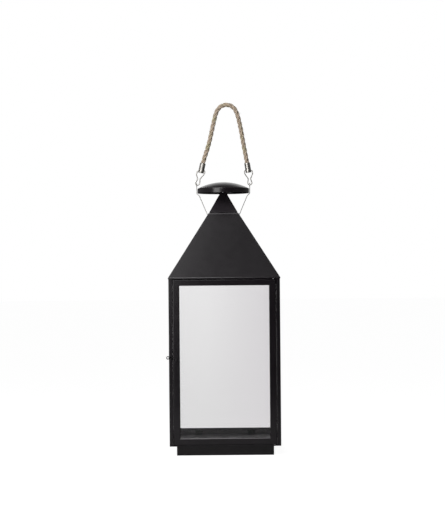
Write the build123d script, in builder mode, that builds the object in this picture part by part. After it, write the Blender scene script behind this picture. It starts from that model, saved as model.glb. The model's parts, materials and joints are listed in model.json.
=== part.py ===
"""Square black metal candle lantern with glazed sides, a hinged door and a rope handle.

Millimetres. The origin is the centre of the plinth's underside, +Z is up, and the door faces -Y.
"""

import os
from math import cos, hypot, radians, sin, tan

from build123d import *

os.makedirs("parts", exist_ok=True)

# Stock
sheet = 0.8
bend = 1.2
glass = 2.0
wire_r = 0.9
bail_wire_r = 0.6
latch_wire_r = 0.7
fit = 0.05

# Body frame: half widths are measured from the lantern's axis
body_half = 99.6
frame_half = body_half - sheet
rail_inner = frame_half - sheet
rail_end = frame_half - (bend - sheet)
body_bottom = 17.4
body_top = 317.4
post_leg = 12.0
door_post_leg = 6.6
opening_low = 31.5
opening_high = 304.0
bottom_reach = 16.8
top_reach = 14.8

# Plinth and floor
plinth_half = 87.0
plinth_lip = 8.0
plinth_corner = 2.0
floor_gap = 0.5
floor_half = rail_inner - floor_gap
floor_front = -93.0

# Fixed panes and their clips
pane_inner = rail_inner - glass
pane_front = -91.5
pane_gap = 0.4
pane_end = pane_inner - pane_gap
pane_top = 313.0
clip_width = 14.0
clip_place = 50.0
clip_foot = 8.2
clip_height = 8.0
top_clip_tip = 306.0

# Roof, vent hood and cap
roof_half = body_half + sheet
eave_low = 316.0
eave_z = 318.0
head_gap = 0.1
roof_top_z = 436.0
roof_top_half = 27.0
hip_round = 0.9
eave_round = 5.0
lip_round = 0.4
hood_low = 437.2
hood_low_half = 25.9
hood_top = 474.0
hood_top_half = 5.3
lug_width = 8.0
lug_place = 13.0
lug_low = 424.0
lug_high = 440.0
cap_r = 47.6
cap_sheet = 1.0
cap_low = 473.0
rim_top = 481.5
rim_round = 2.0
dome_r = 102.5
dome_flat_r = 7.0
cap_top = 493.0
stud_r = 2.5
shoulder_r = 4.0
nut_across = 8.0
nut_height = 4.0
stud_tail = 2.5

# Door leaf and hinge
door_half = 92.0
door_low = 19.6
door_high = 314.7
door_depth = 6.0
door_opening = 80.0
hem = 4.0
door_pane_half = 83.8
door_pane_top = 311.0
door_clip_z = (70.0, 264.0)
door_clip_width = 12.0
hinge_x = 88.0
hinge_y = -96.6
pin_r = 1.2
pin_head_r = 2.0
pin_head = 1.2
pin_reach = 2.6
washer_r = 2.0
sill_high = 19.2

# Latch
latch_x = -86.2
latch_z = 171.0
latch_lift = 18.0
hook_gap = 1.0
rivet_r = 1.2
rivet_head_r = 2.4
rivet_head = 1.0
eye_wire_r = latch_wire_r + fit
keeper_x = -96.4
keeper_rise = 1.3
keeper_r = 0.9
keeper_head_r = 1.7
hook_arch = 3.2
hook_arch_foot = 2.5
hook_arch_top = 1.8
hook_bend = 0.9
ring_place = 15.9
ring_r = 2.25

# Handle: bail wires, links, ferrules and rope, hanging a little to the right of the axis
bail_z = 434.0
bail_foot_x = 24.0
bail_foot = 5.2
bail_elbow_x = 29.6
bail_neck = (44.0, 468.0)
bail_x = 48.8
bail_shoulder_z = 472.8
bail_bend = 1.5
eye_z = 488.2
eye_r = 3.1
link_eye_x = {"left": -48.2, "right": 49.6}
link_shoulder = 7.2
link_shoulder_drop = 6.1
link_neck = 2.1
link_neck_drop = 15.3
link_loop = 3.7
link_loop_drop = 21.6
link_pin_end = 3.2
link_bends = [1.8, 3.0, 2.5, 2.5, 3.2, 3.2, 2.5, 2.5, 3.0, 1.8]
pin_z = 514.5
ferrule_x = {"left": -40.1, "right": 46.4}
ferrule_tilt = {"left": 12.4, "right": 8.6}
ferrule_r = 5.2
ferrule_wall = 1.0
ferrule_below = 3.9
ferrule_above = 14.3
ferrule_round = 0.5
rope_r = ferrule_r - ferrule_wall
rope_seat = 3.4
rope_lead = 20.4
rope_arch = [
    (-26.0, 561.5), (-17.5, 600.0), (-10.1, 629.5), (7.1, 637.8), (24.4, 629.5), (32.4, 597.0), (37.4, 566.0),
]
bend_share = 0.48


def save(piece, name):
    piece.part.label = name
    export_step(piece.part, f"parts/{name}.step")


# Each side of the body: its outward direction
sides = {"front": (0, -1), "back": (0, 1), "left": (-1, 0), "right": (1, 0)}


def side_plane(side):
    """Plane across one side: local x points outwards, local y up."""
    x, y = sides[side]
    return Plane(origin=(0, 0, 0), x_dir=(x, y, 0), z_dir=(y, -x, 0))


def mitre_planes(side):
    """The two upright planes that cut a side's rails at the corners of the square."""
    x, y = sides[side]
    return [Plane(origin=(0, 0, 0), z_dir=(x + y * turn, y - x * turn, 0)) for turn in (1, -1)]


def angle_section(plane, outer, fold, tip, reach):
    """Folded angle: an upright leg from fold to tip, and a flat leg inwards at the fold."""
    rise = sheet if tip > fold else -sheet
    with BuildSketch(plane) as section:
        with BuildLine():
            Polyline(
                (outer, fold), (outer, tip), (outer - sheet, tip), (outer - sheet, fold + rise),
                (outer - reach, fold + rise), (outer - reach, fold), close=True,
            )
        make_face()
        fillet(section.vertices().sort_by_distance((outer, fold))[0], bend)
        fillet(section.vertices().sort_by_distance((outer - sheet, fold + rise))[0], bend - sheet)
    return section.sketch


def strip(plane, points):
    """Closed profile of a bent strip."""
    with BuildSketch(plane) as section:
        with BuildLine():
            Polyline(*points, close=True)
        make_face()
    return section.sketch


# Plinth: a folded skirt with an inward lip at the top and at the foot
with BuildPart() as plinth:
    with BuildSketch():
        RectangleRounded(2 * plinth_half, 2 * plinth_half, plinth_corner)
    extrude(amount=body_bottom)
    with BuildSketch(Plane.XY.offset(sheet)):
        RectangleRounded(2 * (plinth_half - sheet), 2 * (plinth_half - sheet), plinth_corner - sheet)
    extrude(amount=body_bottom - 2 * sheet, mode=Mode.SUBTRACT)
    with BuildSketch():
        Rectangle(2 * (plinth_half - plinth_lip), 2 * (plinth_half - plinth_lip))
    extrude(amount=body_bottom, mode=Mode.SUBTRACT)
save(plinth, "plinth")

# Floor pan, lying on the bottom rails
with BuildPart() as floor_pan:
    with BuildSketch(Plane.XY.offset(body_bottom + sheet)):
        with Locations((0, (floor_half + floor_front) / 2)):
            Rectangle(2 * floor_half, floor_half - floor_front)
    extrude(amount=sheet)
save(floor_pan, "floor_pan")

# Corner posts: folded angles, with a narrow leg beside the door
for depth_name, depth in (("front", -1), ("back", 1)):
    for width_name, width in (("left", -1), ("right", 1)):
        leg = door_post_leg if depth_name == "front" else post_leg
        with BuildPart() as post:
            with BuildSketch(Plane.XY.offset(body_bottom)) as section:
                with BuildLine():
                    Polyline(
                        (width * body_half, depth * body_half),
                        (width * (body_half - leg), depth * body_half),
                        (width * (body_half - leg), depth * frame_half),
                        (width * frame_half, depth * frame_half),
                        (width * frame_half, depth * (body_half - post_leg)),
                        (width * body_half, depth * (body_half - post_leg)),
                        close=True,
                    )
                make_face()
                fillet(section.vertices().sort_by_distance((width * body_half, depth * body_half))[0], bend)
                throat = (width * frame_half, depth * frame_half)
                fillet(section.vertices().sort_by_distance(throat)[0], bend - sheet)
            extrude(amount=body_top - body_bottom)
            if (depth_name, width_name) == ("front", "left"):
                with BuildSketch(Plane.XZ.offset(frame_half)):
                    with Locations((keeper_x, latch_z + keeper_rise)):
                        Circle(keeper_r)
                extrude(amount=sheet, mode=Mode.SUBTRACT)
        save(post, f"corner_post_{depth_name}_{width_name}")

# Bottom and top rails of the three glazed sides, mitred at the corners
for side in ("back", "left", "right"):
    for level, fold, tip, reach in (
        ("bottom", body_bottom, opening_low, bottom_reach),
        ("top", body_top, opening_high, top_reach),
    ):
        profile = angle_section(side_plane(side), frame_half, fold, tip, reach)
        with BuildPart() as rail:
            extrude(profile, amount=rail_end, both=True)
            for cut in mitre_planes(side):
                split(bisect_by=cut, keep=Keep.TOP)
        save(rail, f"{level}_rail_{side}")

# Door sill: its flat leg carries the lower hinge pin, and a low lip stands between the front posts
with BuildPart() as sill:
    with BuildSketch(side_plane("front")):
        with Locations((frame_half - bottom_reach / 2, body_bottom + sheet / 2)):
            Rectangle(bottom_reach, sheet)
    extrude(amount=rail_end, both=True)
    for cut in mitre_planes("front"):
        split(bisect_by=cut, keep=Keep.TOP)
    with BuildSketch(Plane.XZ.offset(frame_half)):
        with Locations((0, (body_bottom + sill_high) / 2)):
            Rectangle(2 * (body_half - door_post_leg), sill_high - body_bottom)
    extrude(amount=sheet)
    with Locations((hinge_x, hinge_y, body_bottom + sheet / 2)):
        Cylinder(pin_r + fit, sheet, mode=Mode.SUBTRACT)
save(sill, "bottom_rail_front")

# Head rail over the door: a low angle behind the eave, with the upper hinge hole in its flat leg
head_low = eave_low - head_gap
profile = angle_section(side_plane("front"), frame_half, head_low, body_top, top_reach)
with BuildPart() as head:
    extrude(profile, amount=rail_end, both=True)
    for cut in mitre_planes("front"):
        split(bisect_by=cut, keep=Keep.TOP)
    with Locations((hinge_x, hinge_y, head_low + sheet / 2)):
        Cylinder(pin_r + fit, sheet, mode=Mode.SUBTRACT)
save(head, "top_rail_front")

# Fixed panes stand on the floor pan, against the rails
floor_top = body_bottom + 2 * sheet
pane_spans = {"back": (-pane_end, pane_end), "left": (pane_front, pane_end), "right": (pane_front, pane_end)}
for side, (start, end) in pane_spans.items():
    x, y = sides[side]
    middle = (pane_inner + rail_inner) / 2
    centre = (x * middle + abs(y) * (start + end) / 2, y * middle + abs(x) * (start + end) / 2)
    size = (glass, end - start) if x else (end - start, glass)
    with BuildPart() as pane:
        with BuildSketch(Plane.XY.offset(floor_top)):
            with Locations(centre):
                Rectangle(*size)
        extrude(amount=pane_top - floor_top)
    save(pane, f"pane_{side}")

    # Bent clips behind that pane, on the floor and under the top rail
    grip = pane_inner - sheet
    low_clip = [
        (pane_inner, floor_top), (pane_inner, floor_top + clip_height), (grip, floor_top + clip_height),
        (grip, floor_top + sheet), (grip - clip_foot, floor_top + sheet), (grip - clip_foot, floor_top),
    ]
    shelf = body_top - sheet
    high_clip = [
        (pane_inner, shelf), (pane_inner, top_clip_tip), (grip, top_clip_tip),
        (grip, shelf - sheet), (grip - clip_foot, shelf - sheet), (grip - clip_foot, shelf),
    ]
    with BuildPart() as clips:
        for place in (-clip_place, clip_place):
            for outline in (low_clip, high_clip):
                extrude(strip(side_plane(side).offset(place), outline), amount=clip_width / 2, both=True)
    save(clips, f"pane_clips_{side}")

def tapered_block(profile):
    """Square block whose four sides all follow one half-profile of (half width, height) points."""
    outline = profile + [(-half, z) for half, z in reversed(profile)]
    reach = 2 * max(half for half, z in profile)
    with BuildPart() as block:
        for plane, mode in ((Plane.XZ, Mode.ADD), (Plane.YZ, Mode.INTERSECT)):
            extrude(strip(plane, outline), amount=reach, both=True, mode=mode)
    return block.part


def hip_edges(block):
    return block.edges().filter_by(lambda edge: abs(edge.tangent_at(0.5).Z) > 0.5)


# Roof: a four-sided hollow pyramid with a turned-down eave, open at the top
roof_run = (roof_half - roof_top_half) / (roof_top_z - eave_z)
roof_skin = sheet * hypot(1, roof_run)
inner_eave = roof_half - sheet
inner_eave_z = eave_z + (sheet - roof_skin) / roof_run
inner_top = roof_top_half - roof_skin
roof_hollow = tapered_block([(inner_eave, eave_low), (inner_eave, inner_eave_z), (inner_top, roof_top_z)])
with BuildPart() as roof:
    add(tapered_block([(roof_half, eave_low), (roof_half, eave_z), (roof_top_half, roof_top_z)]))
    fillet(roof.edges().filter_by_position(Axis.Z, eave_z, eave_z), eave_round)
    fillet(hip_edges(roof), hip_round)
    fillet(roof.edges().filter_by_position(Axis.Z, roof_top_z, roof_top_z), lip_round)
    add(roof_hollow, mode=Mode.SUBTRACT)
    with Locations((0, 0, bail_z)):
        Cylinder(bail_wire_r + fit, 3 * roof_top_half, rotation=(0, 90, 0), mode=Mode.SUBTRACT)
save(roof, "roof")

# Vent hood: a steeper pyramid held clear of the roof's rim by four lugs inside it
hood_run = (hood_low_half - hood_top_half) / (hood_top - hood_low)
hood_skin = sheet * hypot(1, hood_run)
plate_half = hood_top_half + hood_run * sheet - hood_skin
hood_hollow = tapered_block([(hood_low_half - hood_skin, hood_low), (plate_half, hood_top - sheet)])
with BuildPart() as hood:
    add(tapered_block([(hood_low_half, hood_low), (hood_top_half, hood_top)]))
    fillet(hip_edges(hood), hip_round / 2)
    add(hood_hollow, mode=Mode.SUBTRACT)
    with Locations((0, 0, hood_top - sheet / 2)):
        Cylinder(stud_r + fit, 2 * sheet, mode=Mode.SUBTRACT)
    for side in ("front", "back"):
        lug_line = [(inner_top + (roof_top_z - z) * roof_run, z) for z in (lug_low, lug_high)]
        outline = lug_line + [(reach - roof_skin, z) for reach, z in reversed(lug_line)]
        for place in (-lug_place, lug_place):
            extrude(strip(side_plane(side).offset(place), outline), amount=lug_width / 2, both=True)
save(hood, "vent_hood")

# Vent cap: a spun dome with a small flat at its centre and a straight rim, open below
with BuildPart() as cap:
    with BuildSketch(Plane.XZ):
        with BuildLine():
            Polyline((0, cap_top), (0, cap_low), (cap_r, cap_low), (cap_r, rim_top))
            RadiusArc((cap_r, rim_top), (dome_flat_r, cap_top), -dome_r)
            Line((dome_flat_r, cap_top), (0, cap_top))
        make_face()
    revolve(axis=Axis.Z)
    fillet(cap.edges().filter_by_position(Axis.Z, rim_top, rim_top), rim_round)
    offset(amount=-cap_sheet, openings=cap.faces().sort_by(Axis.Z)[0], kind=Kind.INTERSECTION)
save(cap, "vent_cap")

# Shouldered stud between the hood and the cap, and its nut under the hood's top plate
with BuildPart() as stud:
    with BuildSketch(Plane.XY.offset(hood_top)):
        Circle(shoulder_r)
    extrude(amount=cap_top - cap_sheet - hood_top)
    with BuildSketch(Plane.XY.offset(hood_top - sheet - nut_height - stud_tail)):
        Circle(stud_r)
    extrude(amount=sheet + nut_height + stud_tail)
save(stud, "cap_stud")

with BuildPart() as nut:
    with BuildSketch(Plane.XY.offset(hood_top - sheet - nut_height)):
        RegularPolygon(nut_across / 2, 6, major_radius=False)
        Circle(stud_r, mode=Mode.SUBTRACT)
    extrude(amount=nut_height)
save(nut, "cap_nut")

# Door leaf: folded stiles and rails with a hemmed inner edge and an outer return, mitred at the corners
door_front = -body_half
door_back = door_front + door_depth


def door_section(plane, outer, opening):
    """Local x points outwards from the door's middle, and local y to the back."""
    with BuildSketch(plane) as section:
        with BuildLine():
            Polyline(
                (outer, door_front), (outer, door_back), (outer - sheet, door_back),
                (outer - sheet, door_front + sheet), (opening + hem, door_front + sheet),
                (opening + hem, door_front + 2 * sheet), (opening, door_front + 2 * sheet),
                (opening, door_front), close=True,
            )
        make_face()
        spots = {(outer, door_front): bend, (outer - sheet, door_front + sheet): bend - sheet}
        for depth in (door_front, door_front + 2 * sheet):
            spots[(opening, depth)] = sheet - fit
        for spot, radius in spots.items():
            fillet(section.vertices().sort_by_distance(spot)[0], radius)
    return section.sketch


door_mid = (door_low + door_high) / 2
door_middle = (0, 0, door_mid)
door_corners = {
    "high": (door_half - door_opening, door_high - opening_high, door_high),
    "low": (door_half - door_opening, opening_low - door_low, door_low),
}


def door_mitres(hand, keep_stile):
    """Cutting planes from the leaf's outer corners to the opening's corners, on one hand."""
    planes = []
    for end, (across, along, z) in door_corners.items():
        up = 1 if end == "high" else -1
        normal = Vector(hand * along, 0, -up * across)
        planes.append(Plane(origin=(hand * door_half, 0, z), z_dir=normal if keep_stile else -normal))
    return planes


for name, hand in (("latch", -1), ("hinge", 1)):
    plane = Plane(origin=(0, 0, door_low), x_dir=(hand, 0, 0), z_dir=(0, 0, hand))
    profile = door_section(plane, door_half, door_opening)
    with BuildPart() as stile:
        extrude(profile, amount=hand * (door_high - door_low))
        for cut in door_mitres(hand, keep_stile=True):
            split(bisect_by=cut, keep=Keep.TOP)
        if name == "latch":
            with BuildSketch(Plane.XZ.offset(-door_front - sheet)):
                with Locations((latch_x, latch_z)):
                    Circle(rivet_r)
            extrude(amount=sheet, mode=Mode.SUBTRACT)
    save(stile, f"door_stile_{name}")

for name, up, edge, opening in (("top", 1, door_high, opening_high), ("bottom", -1, door_low, opening_low)):
    plane = Plane(origin=door_middle, x_dir=(0, 0, up), z_dir=(-up, 0, 0))
    profile = door_section(plane, abs(edge - door_mid), abs(opening - door_mid))
    with BuildPart() as rail:
        extrude(profile, amount=door_half, both=True)
        for hand in (-1, 1):
            cuts = door_mitres(hand, keep_stile=False)
            split(bisect_by=cuts[0 if up > 0 else 1], keep=Keep.TOP)
        with Locations((hinge_x, hinge_y, edge - up * sheet / 2)):
            Cylinder(pin_r, 2 * sheet, mode=Mode.SUBTRACT)
    save(rail, f"door_rail_{name}")

with BuildPart() as door_pane:
    with BuildSketch(Plane.XY.offset(door_low + sheet)):
        with Locations((0, door_front + 2 * sheet + glass / 2)):
            Rectangle(2 * door_pane_half, glass)
    extrude(amount=door_pane_top - door_low - sheet)
save(door_pane, "door_pane")

# Stepped clips that hold the door's pane against the hems
pane_back = door_front + 2 * sheet + glass
riser = door_pane_half + pane_gap
foot_end = door_half - 2 * sheet - pane_gap
finger = door_opening + sheet
with BuildPart() as door_clips:
    for hand in (-1, 1):
        plane = Plane(origin=(0, 0, 0), x_dir=(hand, 0, 0), z_dir=(0, 0, hand))
        outline = [
            (foot_end, door_front + sheet), (foot_end, door_front + 2 * sheet),
            (riser + sheet, door_front + 2 * sheet), (riser + sheet, pane_back + sheet),
            (finger, pane_back + sheet), (finger, pane_back), (riser, pane_back), (riser, door_front + sheet),
        ]
        for z in door_clip_z:
            extrude(strip(plane.offset(hand * z), outline), amount=door_clip_width / 2, both=True)
save(door_clips, "door_clips")

# Headed hinge pins, fixed in the door's top and bottom returns, and the washer that the door turns on
for name, up, edge in (("top", 1, door_high), ("bottom", -1, door_low)):
    base = Plane(origin=(hinge_x, hinge_y, edge - up * sheet), z_dir=(0, 0, up))
    with BuildPart() as pin:
        with BuildSketch(base):
            Circle(pin_r)
        extrude(amount=sheet + pin_reach)
        with BuildSketch(base):
            Circle(pin_head_r)
        extrude(amount=-pin_head)
    save(pin, f"hinge_pin_{name}")

with BuildPart() as washer:
    with BuildSketch(Plane.XY.offset(body_bottom + sheet)):
        with Locations((hinge_x, hinge_y)):
            Circle(washer_r)
            Circle(pin_r + fit, mode=Mode.SUBTRACT)
    extrude(amount=door_low - body_bottom - sheet - fit)
save(washer, "hinge_washer")


def headed_rivet(name, place, shank_r, head_r):
    """Rivet through a front sheet: shank, round front head and flat tail."""
    face = Plane(origin=(place[0], door_front + sheet, place[1]), x_dir=(1, 0, 0), z_dir=(0, -1, 0))
    shank = sheet + 2 * hook_gap
    with BuildPart() as rivet:
        with BuildSketch(face):
            Circle(shank_r)
        extrude(amount=shank)
        with BuildSketch(face.offset(shank)):
            Circle(head_r)
        extrude(amount=rivet_head)
        fillet(rivet.edges().sort_by(Axis.Y)[0], rivet_head / 2)
        with BuildSketch(face):
            Circle(head_r - sheet / 2)
        extrude(amount=-rivet_head)
    save(rivet, name)


headed_rivet("latch_rivet", (latch_x, latch_z), rivet_r, rivet_head_r)
headed_rivet("latch_keeper", (keeper_x, latch_z + keeper_rise), keeper_r, keeper_head_r)

# Latch hook: one bent wire with a pivot eye, an arch that drops over the keeper, and a finger ring
lift = radians(latch_lift)
hook_plane = Plane(
    origin=(latch_x, door_front - hook_gap, latch_z), x_dir=(-cos(lift), 0, sin(lift)), z_dir=(0, 1, 0)
)
arch = latch_x - keeper_x
pivot_eye_r = rivet_r + fit + eye_wire_r
with BuildPart() as hook:
    with BuildLine(hook_plane) as shank:
        FilletPolyline(
            (pivot_eye_r, 0), (arch - hook_arch_foot, 0), (arch - hook_arch_top, hook_arch),
            (arch + hook_arch_top, hook_arch), (arch + hook_arch_foot, 0), (ring_place - ring_r, 0),
            radius=hook_bend,
        )
    with BuildSketch(Plane(origin=shank.line @ 0, z_dir=shank.line % 0)):
        Circle(latch_wire_r)
    sweep(path=shank.line)
    for place, radius in ((0, pivot_eye_r), (ring_place, ring_r)):
        wire_point = hook_plane.from_local_coords(Vector(place + radius, 0, 0))
        axis_point = hook_plane.from_local_coords(Vector(place, 0, 0))
        with BuildSketch(Plane(origin=wire_point, z_dir=hook_plane.y_dir)):
            Circle(eye_wire_r)
        revolve(axis=Axis(axis_point, hook_plane.z_dir))
save(hook, "latch_hook")

# Handle metalwork, made once for each hand
rope_ends = {}
for name, hand in (("left", -1), ("right", 1)):
    # Bail wire: hooked end inside the roof, a leg that leans out to the cap's rim, an upright and an eye
    with BuildPart() as bail:
        with BuildLine(Plane.XZ) as route:
            FilletPolyline(
                (hand * bail_foot_x, bail_z - bail_foot), (hand * bail_foot_x, bail_z),
                (hand * bail_elbow_x, bail_z), (hand * bail_neck[0], bail_neck[1]),
                (hand * bail_x, bail_shoulder_z), (hand * bail_x, eye_z - eye_r),
                radius=bail_bend,
            )
        with BuildSketch(Plane(origin=route.line @ 0, z_dir=route.line % 0)):
            Circle(bail_wire_r)
        sweep(path=route.line)
        with Locations((hand * bail_x, 0, eye_z)):
            Torus(eye_r, bail_wire_r + fit, rotation=(0, 90, 0))
    save(bail, f"bail_wire_{name}")

    # Link: bottle-shaped bent wire, hung in the bail's eye, with its ends turned into the ferrule
    link_drop = pin_z - eye_z
    half_link = [
        (link_pin_end, 0), (link_shoulder, 0), (link_shoulder, link_shoulder_drop),
        (link_neck, link_neck_drop), (link_loop, link_loop_drop), (link_loop, link_drop),
    ]
    drift = (link_eye_x[name] - ferrule_x[name]) / link_drop
    outline = half_link + [(-across, drop) for across, drop in reversed(half_link)]
    with BuildPart() as link:
        with BuildLine(Plane.XZ) as route:
            FilletPolyline(
                *[(ferrule_x[name] + drift * drop + across, pin_z - drop) for across, drop in outline],
                radius=link_bends,
            )
        with BuildSketch(Plane(origin=route.line @ 0, z_dir=route.line % 0)):
            Circle(wire_r)
        sweep(path=route.line)
    save(link, f"link_{name}")

    # Ferrule: a closed tube over the rope's end, cross-drilled for the link
    tilt = radians(ferrule_tilt[name])
    seat = Plane(origin=(ferrule_x[name], 0, pin_z), z_dir=(-hand * sin(tilt), 0, cos(tilt)))
    with BuildPart() as ferrule:
        with BuildSketch(seat.offset(-ferrule_below)):
            Circle(ferrule_r)
        extrude(amount=ferrule_below + ferrule_above)
        fillet(ferrule.edges(), ferrule_round)
        with BuildSketch(seat.offset(ferrule_wall - ferrule_below)):
            Circle(rope_r)
        extrude(amount=ferrule_below + ferrule_above, mode=Mode.SUBTRACT)
        with Locations((ferrule_x[name], 0, pin_z)):
            Cylinder(wire_r + fit, 3 * ferrule_r, rotation=(0, 90, 0), mode=Mode.SUBTRACT)
    save(ferrule, f"ferrule_{name}")
    rope_ends[name] = [
        (ferrule_x[name] - hand * along * sin(tilt), pin_z + along * cos(tilt))
        for along in (rope_seat, rope_lead)
    ]

# Rope: a plain round along the handle's arch, from ferrule to ferrule
rope_points = rope_ends["left"] + rope_arch + rope_ends["right"][::-1]
rope_radii = []
for before, corner, after in zip(rope_points, rope_points[1:], rope_points[2:]):
    run_in = Vector(*corner) - Vector(*before)
    run_out = Vector(*after) - Vector(*corner)
    half_turn = radians(run_in.get_angle(run_out) / 2)
    rope_radii.append(bend_share * min(run_in.length, run_out.length) / tan(half_turn))
with BuildPart() as rope:
    with BuildLine(Plane.XZ) as route:
        FilletPolyline(*rope_points, radius=rope_radii)
    with BuildSketch(Plane(origin=route.line @ 0, z_dir=route.line % 0)):
        Circle(rope_r)
    sweep(path=route.line)
save(rope, "handle_rope")
print("rope points", [(round(x, 2), round(z, 2)) for x, z in rope_points])
print("rope radii", [round(radius, 1) for radius in rope_radii])
print("rope length", round(route.wires()[0].length, 1))
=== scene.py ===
import json
import math

import bpy
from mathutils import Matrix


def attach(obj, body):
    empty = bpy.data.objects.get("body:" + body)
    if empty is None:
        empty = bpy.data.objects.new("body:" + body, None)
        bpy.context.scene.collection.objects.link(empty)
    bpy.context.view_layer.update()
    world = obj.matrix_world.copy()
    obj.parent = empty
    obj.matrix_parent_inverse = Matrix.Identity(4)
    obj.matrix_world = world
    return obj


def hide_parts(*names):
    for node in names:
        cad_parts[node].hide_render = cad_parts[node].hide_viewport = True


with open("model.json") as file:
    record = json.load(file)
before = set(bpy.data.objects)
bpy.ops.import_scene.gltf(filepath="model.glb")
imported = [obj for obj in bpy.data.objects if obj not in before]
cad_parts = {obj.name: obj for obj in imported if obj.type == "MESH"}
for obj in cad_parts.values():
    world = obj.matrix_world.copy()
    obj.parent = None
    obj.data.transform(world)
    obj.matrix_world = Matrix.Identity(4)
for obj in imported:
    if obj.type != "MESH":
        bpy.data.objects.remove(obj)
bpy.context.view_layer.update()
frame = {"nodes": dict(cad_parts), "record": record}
nodes = frame["nodes"]
scene = bpy.context.scene
scene.view_settings.view_transform = "Standard"
print("frame loaded,", len(nodes), "nodes")


def linkObject(name, data):
    piece = bpy.data.objects.new(name, data)
    scene.collection.objects.link(piece)
    return piece


# camera: level with the middle of the lantern, long lens, with the photo's slight lean
view = {"across": -0.0026, "away": 3.1, "height": 0.3389, "lens": 113.84, "sensor": 36.0, "lean": 0.5}

lens = bpy.data.cameras.new("camera")
lens.sensor_fit = "VERTICAL"
lens.sensor_height = view["sensor"]
lens.lens = view["lens"]
camera = linkObject("camera", lens)
camera.location = (view["across"], -view["away"], view["height"])
camera.rotation_euler = (math.pi / 2, math.radians(view["lean"]), 0)
scene.camera = camera
print("camera set")


def feed(tree, source, target):
    # an output is linked to the socket, a plain value is set on it
    if hasattr(source, "is_output"):
        tree.links.new(source, target)
    else:
        target.default_value = source


def addNode(tree, kind, sources=None, **settings):
    # sources go to the node's inputs, by name or number
    node = tree.nodes.new(kind)
    for name, value in settings.items():
        setattr(node, name, value)
    for socket, source in (sources or {}).items():
        feed(tree, source, node.inputs[socket])
    return node


def mathNode(tree, operation, *values):
    return addNode(tree, "ShaderNodeMath", dict(enumerate(values)), operation=operation).outputs[0]


def mixColour(tree, share, first, second):
    return addNode(tree, "ShaderNodeMix", {0: share, 6: first, 7: second}, data_type="RGBA").outputs[2]


def spread(tree, value, low, high, start, stop):
    # low at start, high at stop, even between them
    return addNode(tree, "ShaderNodeMapRange", {0: value, 1: start, 2: stop, 3: low, 4: high}).outputs[0]


def grainNoise(tree, where, noise):
    scale, detail, rough = noise
    return addNode(tree, "ShaderNodeTexNoise", {
        "Vector": where, "Scale": scale, "Detail": detail, "Roughness": rough}).outputs["Fac"]


def bumpFrom(tree, height, strength, distance, shader):
    bump = addNode(tree, "ShaderNodeBump", {"Strength": strength, "Distance": distance, "Height": height})
    feed(tree, bump.outputs["Normal"], shader.inputs["Normal"])


def grey(value):
    return (value, value, value, 1)


def startFinish(name, sockets):
    finish = bpy.data.materials.new(name)
    finish.use_nodes = True
    tree = finish.node_tree
    shader = tree.nodes["Principled BSDF"]
    for socket, value in sockets.items():
        feed(tree, value, shader.inputs[socket])
    where = addNode(tree, "ShaderNodeTexCoord").outputs["Object"]
    return finish, tree, shader, where


# satin black powder coat: orange peel, a little tone drift and uneven gloss
# a noise is its scale, detail and roughness; a range is the part of it that is spread out
blackCoat = {
    "deep": (0.0080, 0.0062, 0.0078, 1), "worn": (0.0112, 0.0088, 0.0110, 1),
    "driftNoise": (11.0, 5.0, 0.6), "driftRange": (0.35, 0.65),
    "glossNoise": (70.0, 4.0, 0.5), "glossRange": (0.3, 0.7), "satin": (0.18, 0.24), "shine": 0.5,
    "peelNoise": (850.0, 2.0, 0.5), "peelBump": 0.03, "peelDepth": 0.0002,
}
# dulled by wax and soot: the floor inside and the side clips
sootCoat = {**blackCoat, "satin": (0.55, 0.70), "shine": 0.45}
# matt and darker: the back clips and the latch hook
charCoat = {
    **sootCoat, "deep": (0.0030, 0.0027, 0.0030, 1), "worn": (0.0045, 0.0041, 0.0045, 1), "shine": 0.06,
}
# painted light: lighter copies of the coat, for the vent hood and the back's lower rail
hoodPaintedLightCoat = {**blackCoat, "deep": (0.0200, 0.0168, 0.0197, 1), "worn": (0.0250, 0.0212, 0.0247, 1)}
railPaintedLightCoat = {**blackCoat, "deep": (0.0240, 0.0218, 0.0240, 1), "worn": (0.0300, 0.0275, 0.0300, 1)}


def makeBlackCoat(name, c):
    finish, tree, shader, where = startFinish(name, {"Specular IOR Level": c["shine"]})
    drift = spread(tree, grainNoise(tree, where, c["driftNoise"]), 0, 1, *c["driftRange"])
    feed(tree, mixColour(tree, drift, c["deep"], c["worn"]), shader.inputs["Base Color"])
    gloss = grainNoise(tree, where, c["glossNoise"])
    feed(tree, spread(tree, gloss, *c["satin"], *c["glossRange"]), shader.inputs["Roughness"])
    bumpFrom(tree, grainNoise(tree, where, c["peelNoise"]), c["peelBump"], c["peelDepth"], shader)
    return finish


# painted highlight: a light band along the node's top edge, by the depth below the node's top
# painted highlight along the roof's top lip
roofEdgeHighlight = {"node": "roof", "paintedHighlight": (0.070, 0.066, 0.070, 1), "start": 0.0034, "stop": 0.0014}
# painted highlight along the top edge of the door's lower rail
sillEdgeHighlight = {"node": "door_rail_bottom", "paintedHighlight": (0.22, 0.21, 0.22, 1), "start": 0.0010, "stop": 0.0006}


def makeCoatWithPaintedHighlight(name, c, edgeHighlight):
    finish = makeBlackCoat(name, c)
    tree = finish.node_tree
    baseColour = tree.nodes["Principled BSDF"].inputs["Base Color"]
    where = addNode(tree, "ShaderNodeTexCoord").outputs["Object"]
    height = addNode(tree, "ShaderNodeSeparateXYZ", {0: where}).outputs["Z"]
    top = max(corner[2] for corner in nodes[edgeHighlight["node"]].bound_box)
    # painted highlight: the coat turns to the light colour towards the top edge
    highlightShare = spread(tree, height, 0, 1, top - edgeHighlight["start"], top - edgeHighlight["stop"])
    feed(tree, mixColour(tree, highlightShare, baseColour.links[0].from_socket, edgeHighlight["paintedHighlight"]), baseColour)
    return finish


# clear float glass with faint wipe marks
paneGlass = {
    "tint": (0.975, 0.972, 0.975, 1), "refraction": 1.5,
    "smearNoise": (7.0, 4.0, 0.65), "smearRange": (0.55, 0.75), "smear": (0.0, 0.004),
}


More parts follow.
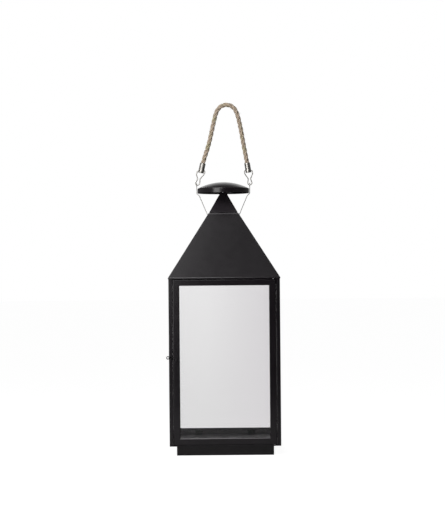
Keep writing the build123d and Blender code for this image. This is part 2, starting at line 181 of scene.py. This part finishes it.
def makePaneGlass(name, c):
    finish, tree, shader, where = startFinish(
        name, {"Base Color": c["tint"], "Transmission Weight": 1.0, "IOR": c["refraction"]})
    smear = grainNoise(tree, where, c["smearNoise"])
    feed(tree, spread(tree, smear, *c["smear"], *c["smearRange"]), shader.inputs["Roughness"])
    return finish


# plated metal: fine draw lines and small dull patches
nickelPlate = {
    "bright": (0.56, 0.54, 0.505, 1), "dull": (0.49, 0.47, 0.44, 1),
    "patchNoise": (160.0, 4.0, 0.6), "dullRange": (0.4, 0.7),
    "polish": (0.38, 0.44), "polishRange": (0.35, 0.7),
    "lineNoise": (2400.0, 1.0, 0.5), "lineBump": 0.03, "lineDepth": 0.00004,
}
zincPlate = {
    **nickelPlate, "bright": (0.60, 0.61, 0.63, 1), "dull": (0.42, 0.42, 0.43, 1),
    "patchNoise": (500.0, 4.0, 0.6), "polish": (0.28, 0.42), "lineBump": 0.08, "lineDepth": 0.00005,
}


def makePlate(name, c):
    finish, tree, shader, where = startFinish(name, {"Metallic": 1.0})
    patch = grainNoise(tree, where, c["patchNoise"])
    dulled = spread(tree, patch, 0, 1, *c["dullRange"])
    feed(tree, mixColour(tree, dulled, c["bright"], c["dull"]), shader.inputs["Base Color"])
    feed(tree, spread(tree, patch, *c["polish"], *c["polishRange"]), shader.inputs["Roughness"])
    bumpFrom(tree, grainNoise(tree, where, c["lineNoise"]), c["lineBump"], c["lineDepth"], shader)
    return finish


finishes = {
    "black_paint": makeBlackCoat("blackCoat", blackCoat),
    "soot": makeBlackCoat("sootCoat", sootCoat),
    "char": makeBlackCoat("charCoat", charCoat),
    "railPaintedLight": makeBlackCoat("railPaintedLightCoat", railPaintedLightCoat),
    "hood": makeBlackCoat("hoodPaintedLightCoat", hoodPaintedLightCoat),
    "roofLip": makeCoatWithPaintedHighlight("roofCoatPaintedHighlight", blackCoat, roofEdgeHighlight),
    "sill": makeCoatWithPaintedHighlight("sillCoatPaintedHighlight", blackCoat, sillEdgeHighlight),
    "glass": makePaneGlass("paneGlass", paneGlass),
    "nickel": makePlate("nickelPlate", nickelPlate),
    "zinc_steel": makePlate("zincPlate", zincPlate),
}
# nodes whose finish isn't the one of their slot
special = {
    "floor_pan": "soot", "pane_clips_left": "soot", "pane_clips_right": "soot",
    # painted light on the hood and the back's lower rail; painted highlights along the roof's lip and the
    # door's lower rail
    "pane_clips_back": "char", "latch_hook": "char", "vent_hood": "hood", "bottom_rail_back": "railPaintedLight",
    "roof": "roofLip", "door_rail_bottom": "sill",
}
for part in frame["record"]["subparts"]:
    finish = finishes.get(special.get(part["node"], part["material_slot"]))
    if finish:
        piece = nodes[part["node"]]
        for materialSlot in piece.material_slots:
            materialSlot.material = finish
        piece.visible_shadow = part["material_slot"] != "glass"  # lamp light passes the panes
print("finishes on the lantern's metal and glass")

# three-strand jute rope: the route's points, in metres, from ferrule to ferrule
rope = {
    "route": [
        (-0.03937, 0, 0.51782), (-0.03572, 0, 0.53442), (-0.0260, 0, 0.5615), (-0.0175, 0, 0.6000),
        (-0.0101, 0, 0.6295), (0.0071, 0, 0.6378), (0.0244, 0, 0.6295), (0.0324, 0, 0.5970),
        (0.0374, 0, 0.5660), (0.04335, 0, 0.53467), (0.04589, 0, 0.51786),
    ],
    "length": 0.2639, "diameter": 0.0084, "order": 3, "steps": 24, "strandCount": 3, "sides": 56,
    "lay": {
        "strandRadius": 0.00220, "helixRadius": 0.00190, "layLength": 0.0295,
        "yarnCount": 7.0, "yarnDepth": 0.00022, "yarnLay": -0.0200, "ringSpacing": 0.0009,
    },
}
jute = {
    "pale": (0.59, 0.485, 0.372, 1), "mid": (0.44, 0.344, 0.262, 1), "creaseShade": (0.20, 0.150, 0.108, 1),
    "green": (0.41, 0.390, 0.225, 1), "rough": 0.86, "sheen": 0.25, "sheenRough": 0.45,
    "fibresAround": 26.0, "fibresAlong": 80.0, "fibreNoise": (1.6, 4.0, 0.7),
    "paleShare": (0.1, 0.9), "paleRange": (0.30, 0.70), "fibreBump": 0.6, "fibreDepth": 0.0003,
    "toneNoise": (60.0, 3.0, 0.5), "greenShare": (0, 0.7), "greenRange": (0.52, 0.68),
    # painted shade in the valleys between the yarns and the grooves between the strands
    "yarnShadeShare": (0.32, 0), "yarnRange": (-1.0, 0.35),
    "grooveShadeShare": (0.62, 0), "grooveRange": (0.0026, 0.0037),
}


def makeJute(name, c):
    finish, tree, shader, where = startFinish(
        name, {"Roughness": c["rough"], "Sheen Weight": c["sheen"], "Sheen Roughness": c["sheenRough"]})
    # the marks that the rope's tree leaves on its mesh
    around, along, crest, reach = (
        addNode(tree, "ShaderNodeAttribute", attribute_name=mark).outputs["Fac"]
        for mark in ("yarnTurn", "ropeRun", "yarnCrest", "ropeDepth"))
    fibreSpot = addNode(tree, "ShaderNodeCombineXYZ", {
        0: mathNode(tree, "MULTIPLY", around, c["fibresAround"]),
        1: mathNode(tree, "MULTIPLY", along, c["fibresAlong"])}).outputs[0]
    fibre = grainNoise(tree, fibreSpot, c["fibreNoise"])
    tone = grainNoise(tree, where, c["toneNoise"])
    body = mixColour(tree, spread(tree, fibre, *c["paleShare"], *c["paleRange"]), c["mid"], c["pale"])
    body = mixColour(tree, spread(tree, tone, *c["greenShare"], *c["greenRange"]), body, c["green"])
    # painted shade: darker in the valleys between the yarns and in the grooves between the strands
    body = mixColour(tree, spread(tree, crest, *c["yarnShadeShare"], *c["yarnRange"]), body, c["creaseShade"])
    body = mixColour(tree, spread(tree, reach, *c["grooveShadeShare"], *c["grooveRange"]), body, c["creaseShade"])
    feed(tree, body, shader.inputs["Base Color"])
    bumpFrom(tree, fibre, c["fibreBump"], c["fibreDepth"], shader)
    return finish


def vectorMath(tree, operation, first, second):
    return addNode(tree, "ShaderNodeVectorMath", {
        0: first, "Scale" if operation == "SCALE" else 1: second}, operation=operation).outputs[0]


def storeFloat(tree, geometry, name, value):
    return addNode(tree, "GeometryNodeStoreNamedAttribute", {
        "Geometry": geometry, "Name": name, "Value": value}, data_type="FLOAT", domain="POINT").outputs[0]


def startGroup(name, floats, integer):
    # a group of nodes that takes a geometry, the floats, an integer and a finish
    tree = bpy.data.node_groups.new(name, "GeometryNodeTree")
    kinds = {"Geometry": "Geometry", **dict.fromkeys(floats, "Float"), integer: "Int", "finish": "Material"}
    for item, kind in kinds.items():
        tree.interface.new_socket(name=item, in_out="INPUT", socket_type="NodeSocket" + kind)
    tree.interface.new_socket(name="Geometry", in_out="OUTPUT", socket_type="NodeSocketGeometry")
    return tree, addNode(tree, "NodeGroupInput").outputs


def endGroup(tree, geometry, finish):
    dressed = addNode(tree, "GeometryNodeSetMaterial", {"Geometry": geometry, "Material": finish})
    addNode(tree, "NodeGroupOutput", {0: dressed.outputs[0]})


def ropeTree(c):
    tree, inputs = startGroup("ropeLay", c["lay"], "sides")
    # one ridged strand section, the ridges being its yarns
    circle = addNode(tree, "GeometryNodeCurvePrimitiveCircle", {
        "Resolution": inputs["sides"], "Radius": inputs["strandRadius"]})
    turn = addNode(tree, "GeometryNodeSplineParameter").outputs["Factor"]
    crest = mathNode(tree, "COSINE", mathNode(
        tree, "MULTIPLY", mathNode(tree, "MULTIPLY", turn, inputs["yarnCount"]), math.tau))
    section = storeFloat(tree, circle.outputs[0], "yarnCrest", crest)
    section = storeFloat(tree, section, "yarnTurn", turn)
    spot = addNode(tree, "GeometryNodeInputPosition").outputs[0]
    outward = addNode(tree, "ShaderNodeVectorMath", {0: spot}, operation="NORMALIZE").outputs[0]
    halfDepth = mathNode(tree, "MULTIPLY", inputs["yarnDepth"], 0.5)
    ridge = vectorMath(tree, "SCALE", outward, mathNode(tree, "MULTIPLY", crest, halfDepth))
    ridged = addNode(tree, "GeometryNodeSetPosition", {"Geometry": section, "Offset": ridge})

    # the strands wind about the route, each turned on itself the other way
    path = addNode(tree, "GeometryNodeMeshToCurve", {"Mesh": inputs["Geometry"]})
    rings = addNode(tree, "GeometryNodeResampleCurve", {
        "Curve": path.outputs[0], "Length": inputs["ringSpacing"]}, mode="LENGTH")
    run = addNode(tree, "GeometryNodeSplineParameter").outputs["Length"]
    marked = storeFloat(tree, rings.outputs[0], "ropeRun", run)
    runMark = addNode(tree, "GeometryNodeInputNamedAttribute", {
        "Name": "ropeRun"}, data_type="FLOAT").outputs[0]
    tangent = addNode(tree, "GeometryNodeInputTangent").outputs[0]
    normal = addNode(tree, "GeometryNodeInputNormal").outputs[0]
    side = vectorMath(tree, "CROSS_PRODUCT", tangent, normal)
    laid = mathNode(tree, "DIVIDE", mathNode(tree, "MULTIPLY", run, math.tau), inputs["layLength"])
    twist = mathNode(tree, "DIVIDE", mathNode(tree, "MULTIPLY", runMark, math.tau), inputs["yarnLay"])
    together = addNode(tree, "GeometryNodeJoinGeometry")
    for strand in range(c["strandCount"]):
        angle = mathNode(tree, "ADD", laid, strand * math.tau / c["strandCount"])
        out = vectorMath(tree, "ADD", vectorMath(tree, "SCALE", normal, mathNode(tree, "COSINE", angle)),
                         vectorMath(tree, "SCALE", side, mathNode(tree, "SINE", angle)))
        helix = addNode(tree, "GeometryNodeSetPosition", {
            "Geometry": marked, "Offset": vectorMath(tree, "SCALE", out, inputs["helixRadius"])})
        tilted = addNode(tree, "GeometryNodeSetCurveTilt", {"Curve": helix.outputs[0], "Tilt": twist})
        swept = addNode(tree, "GeometryNodeCurveToMesh", {
            "Curve": tilted.outputs[0], "Profile Curve": ridged.outputs[0], "Fill Caps": True})
        feed(tree, swept.outputs[0], together.inputs[0])
    whole = addNode(tree, "GeometryNodeRealizeInstances", {0: together.outputs[0]})
    near = addNode(tree, "GeometryNodeProximity", {0: inputs["Geometry"]}, target_element="EDGES")
    marked = storeFloat(tree, whole.outputs[0], "ropeDepth", near.outputs["Distance"])
    endGroup(tree, marked, inputs["finish"])
    return tree


# loose fibres standing off the rope: one bent, three-sided fibre, planted at random
fuzz = {
    "bend": {"Start": (0, 0, -0.08), "Middle": (0.1, 0.25, 0.35), "End": (0.75, 0.2, 0.42)},
    "bendSteps": 4, "sides": 3, "seed": 11,
    "growth": {
        "density": 42000.0, "length": 0.0042, "thickness": 0.000045, "shortest": 0.35, "longest": 1.25,
    },
}
fibreTone = {"low": jute["mid"], "high": (0.56, 0.48, 0.37, 1), "toneNoise": (300.0, 2.0, 0.5), "rough": 0.8}


def makeFibre(name, c):
    finish, tree, shader, where = startFinish(name, {"Roughness": c["rough"]})
    tone = grainNoise(tree, where, c["toneNoise"])
    feed(tree, mixColour(tree, tone, c["low"], c["high"]), shader.inputs["Base Color"])
    return finish


def fuzzTree(c):
    tree, inputs = startGroup("ropeFuzz", c["growth"], "seed")
    roots = addNode(tree, "GeometryNodeDistributePointsOnFaces", {
        "Mesh": inputs["Geometry"], "Density": inputs["density"], "Seed": inputs["seed"]})
    arc = addNode(tree, "GeometryNodeCurveQuadraticBezier", {"Resolution": c["bendSteps"], **{
        end: vectorMath(tree, "SCALE", shape, inputs["length"]) for end, shape in c["bend"].items()}})
    section = addNode(tree, "GeometryNodeCurvePrimitiveCircle", {
        "Resolution": c["sides"], "Radius": inputs["thickness"]})
    fibre = addNode(tree, "GeometryNodeCurveToMesh", {
        "Curve": arc.outputs[0], "Profile Curve": section.outputs[0], "Fill Caps": True})
    size = addNode(tree, "FunctionNodeRandomValue", {
        2: inputs["shortest"], 3: inputs["longest"], "Seed": inputs["seed"]}, data_type="FLOAT")
    planted = addNode(tree, "GeometryNodeInstanceOnPoints", {
        "Points": roots.outputs["Points"], "Instance": fibre.outputs[0],
        "Rotation": roots.outputs["Rotation"], "Scale": size.outputs[1]})
    turn = addNode(tree, "FunctionNodeRandomValue", {
        0: (0, 0, 0), 1: (0, 0, math.tau), "Seed": inputs["seed"]}, data_type="FLOAT_VECTOR")
    spun = addNode(tree, "GeometryNodeRotateInstances", {
        "Instances": planted.outputs[0], "Rotation": turn.outputs[0]})
    whole = addNode(tree, "GeometryNodeRealizeInstances", {0: spun.outputs[0]})
    endGroup(tree, whole.outputs[0], inputs["finish"])
    return tree


def plainMesh(holder, name):
    # the evaluated result as a mesh of its own, with the holder gone
    graph = bpy.context.evaluated_depsgraph_get()
    mesh = bpy.data.meshes.new_from_object(holder.evaluated_get(graph))
    mesh.name = name
    bpy.data.objects.remove(holder)
    return mesh


def routeLine(c):
    curve = bpy.data.curves.new("ropeRoute", "CURVE")
    curve.dimensions = "3D"
    spline = curve.splines.new("NURBS")
    spline.points.add(len(c["route"]) - 1)
    for point, spot in zip(spline.points, c["route"]):
        point.co = (*spot, 1)
    spline.order_u = c["order"]
    spline.use_endpoint_u = True
    curve.resolution_u = c["steps"]
    return plainMesh(linkObject("ropeRoute", curve), "ropeLine")


def growPiece(name, mesh, tree, values):
    # what the tree makes of the mesh
    holder = linkObject("holder", mesh)
    modifier = holder.modifiers.new(tree.name, "NODES")
    modifier.node_group = tree
    sockets = {item.name: item.identifier for item in tree.interface.items_tree if item.in_out == "INPUT"}
    for item, value in values.items():
        modifier[sockets[item]] = value
    return linkObject(name, plainMesh(holder, name))


ropeLine = routeLine(rope)
ropePiece = growPiece("rope_strands", ropeLine, ropeTree(rope), {
    **rope["lay"], "sides": rope["sides"], "finish": makeJute("juteRope", jute)})
ropePiece.data.shade_smooth()
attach(ropePiece, "handle")
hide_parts("handle_rope")
print("rope laid,", len(ropePiece.data.polygons), "faces")

fuzzPiece = growPiece("rope_fuzz", ropePiece.data.copy(), fuzzTree(fuzz), {
    **fuzz["growth"], "seed": fuzz["seed"], "finish": makeFibre("juteFibre", fibreTone)})
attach(fuzzPiece, "handle")
print("loose fibres,", len(fuzzPiece.data.polygons), "faces")

# white floor that keeps a soft shadow; its paper bounces light only near the lantern
floorSheet = {"half": 14.0, "paper": 0.5, "near": 0.7, "far": 1.5, "white": 0.95, "shade": 0.25}


def makeFloor(c):
    sheet = bpy.data.meshes.new("floor")
    corners = ((-1, -1), (1, -1), (1, 1), (-1, 1))
    sheet.from_pydata([(x * c["half"], y * c["half"], 0) for x, y in corners], [], [(0, 1, 2, 3)])
    finish = bpy.data.materials.new("floorPaper")
    finish.use_nodes = True
    tree = finish.node_tree
    tree.nodes.clear()
    seen = addNode(tree, "ShaderNodeLightPath").outputs["Is Camera Ray"]
    where = addNode(tree, "ShaderNodeTexCoord").outputs["Object"]
    apart = addNode(tree, "ShaderNodeVectorMath", {0: where}, operation="LENGTH").outputs["Value"]
    bounce = spread(tree, apart, c["paper"], 0, c["near"], c["far"])
    paper = addNode(tree, "ShaderNodeBsdfDiffuse", {"Color": mixColour(tree, seen, bounce, grey(c["shade"]))})
    glow = addNode(tree, "ShaderNodeEmission", {"Strength": mathNode(tree, "MULTIPLY", seen, c["white"])})
    both = addNode(tree, "ShaderNodeAddShader", {0: paper.outputs[0], 1: glow.outputs[0]})
    # seen from below it is clear, so that it doesn't hide the underside
    below = addNode(tree, "ShaderNodeNewGeometry").outputs["Backfacing"]
    clear = addNode(tree, "ShaderNodeBsdfTransparent").outputs[0]
    either = addNode(tree, "ShaderNodeMixShader", {0: below, 1: both.outputs[0], 2: clear})
    addNode(tree, "ShaderNodeOutputMaterial", {"Surface": either.outputs[0]})
    sheet.materials.append(finish)
    piece = linkObject("floor", sheet)
    piece.visible_transmission = False


makeFloor(floorSheet)

# the room that the coat reflects: a pale backdrop that fades aside and overhead, a ceiling in front, faint
# walls; and the graded white that shows through the panes
studio = {
    "front": 0.012, "back": 0.92, "turnStart": 0.05, "turnStop": 0.85,
    "wide": 0.15, "wideStart": 0.14, "wideStop": 0.38, "sky": 0.10, "skyStart": 0.40, "skyStop": 0.68,
    "ceiling": 0.32, "ceilingStart": 0.6, "ceilingStop": 0.9,
    "wallLeft": 0.20, "wallRight": 0.12, "wallStart": 0.55, "wallStop": 0.95,
    "paneLow": 0.845, "paneHigh": 0.98, "paneFoot": -0.10, "paneHead": -0.012,
    "paneRight": (0.815, 0.80, 0.815, 1), "paneStart": -0.010, "paneStop": 0.028,
    "slitStraight": 0.99, "slitStart": 0.0293, "noBounce": 0.5,
}


def makeStudio(c):
    world = bpy.data.worlds.new("studio")
    world.use_nodes = True
    scene.world = world
    tree = world.node_tree
    where = addNode(tree, "ShaderNodeTexCoord").outputs["Generated"]
    across, away, up = addNode(tree, "ShaderNodeSeparateXYZ", {0: where}).outputs
    aside = mathNode(tree, "ABSOLUTE", across)
    light = addNode(tree, "ShaderNodeLightPath").outputs

    backdrop = spread(tree, away, 0, c["back"], c["turnStart"], c["turnStop"])
    wide = spread(tree, aside, 1, c["wide"], c["wideStart"], c["wideStop"])
    sky = spread(tree, up, 1, c["sky"], c["skyStart"], c["skyStop"])
    backdrop = mathNode(tree, "MULTIPLY", mathNode(tree, "MULTIPLY", backdrop, wide), sky)
    ceiling = spread(tree, up, 0, c["ceiling"], c["ceilingStart"], c["ceilingStop"])
    ceiling = mathNode(tree, "MULTIPLY", ceiling, mathNode(tree, "LESS_THAN", away, 0.0))
    walls = mathNode(tree, "ADD", spread(tree, across, c["wallLeft"], 0, -c["wallStop"], -c["wallStart"]),
                     spread(tree, across, 0, c["wallRight"], c["wallStart"], c["wallStop"]))
    room = mathNode(tree, "ADD", backdrop, mathNode(tree, "ADD", ceiling, c["front"]))
    room = mathNode(tree, "ADD", room, walls)

    left = spread(tree, up, c["paneLow"], c["paneHigh"], c["paneFoot"], c["paneHead"])
    behind = mixColour(tree, spread(tree, across, 0, 1, c["paneStart"], c["paneStop"]), left, c["paneRight"])
    # painted shade: the backdrop seen straight through the slits beside the door is dark, so nothing white
    # shows there
    slit = mathNode(tree, "MULTIPLY", mathNode(tree, "GREATER_THAN", away, c["slitStraight"]),
                    mathNode(tree, "GREATER_THAN", aside, c["slitStart"]))
    behind = mixColour(tree, slit, behind, grey(c["front"]))

    # straight through the panes it is what lies behind, to the camera itself plain white
    bounces = mathNode(tree, "ADD", light["Glossy Depth"], light["Diffuse Depth"])
    straight = mathNode(tree, "LESS_THAN", bounces, c["noBounce"])
    seen = mathNode(tree, "MULTIPLY", light["Is Transmission Ray"], straight)
    colour = mixColour(tree, light["Is Camera Ray"], mixColour(tree, seen, room, behind), grey(1))
    feed(tree, colour, tree.nodes["Background"].inputs["Color"])


makeStudio(studio)

# oval softboxes, all from the front left, by their turn and rise as seen from the lantern
softboxes = {
    "keySoftbox": {"turn": -28.5, "rise": 5, "away": 0.9, "size": (0.44, 0.62), "watts": 2.2, "aimZ": 0.3},
    "keyHalo": {"turn": -27.5, "rise": 6, "away": 0.95, "size": (0.74, 0.84), "watts": 1.0, "aimZ": 0.3},
    "upperSoftbox": {"turn": -23, "rise": 37, "away": 1.1, "size": (0.85, 0.42), "watts": 5.0, "aimZ": 0.33},
    "topSoftbox": {"turn": -52, "rise": 60, "away": 1.05, "size": (0.8, 0.8), "watts": 1.95, "aimZ": 0.35},
}


def makeSoftbox(name, c):
    lamp = bpy.data.lights.new(name, "AREA")
    lamp.shape = "ELLIPSE"
    lamp.size, lamp.size_y = c["size"]
    lamp.energy = c["watts"]
    piece = linkObject(name, lamp)
    turn, rise = math.radians(c["turn"]), math.radians(c["rise"])
    level = c["away"] * math.cos(rise)
    height = c["aimZ"] + c["away"] * math.sin(rise)
    piece.location = (level * math.sin(turn), -level * math.cos(turn), height)
    piece.rotation_euler = (math.pi / 2 - rise, 0, turn)
    piece.visible_camera = False
    piece.visible_transmission = False


for name, box in softboxes.items():
    makeSoftbox(name, box)
print("studio lit")
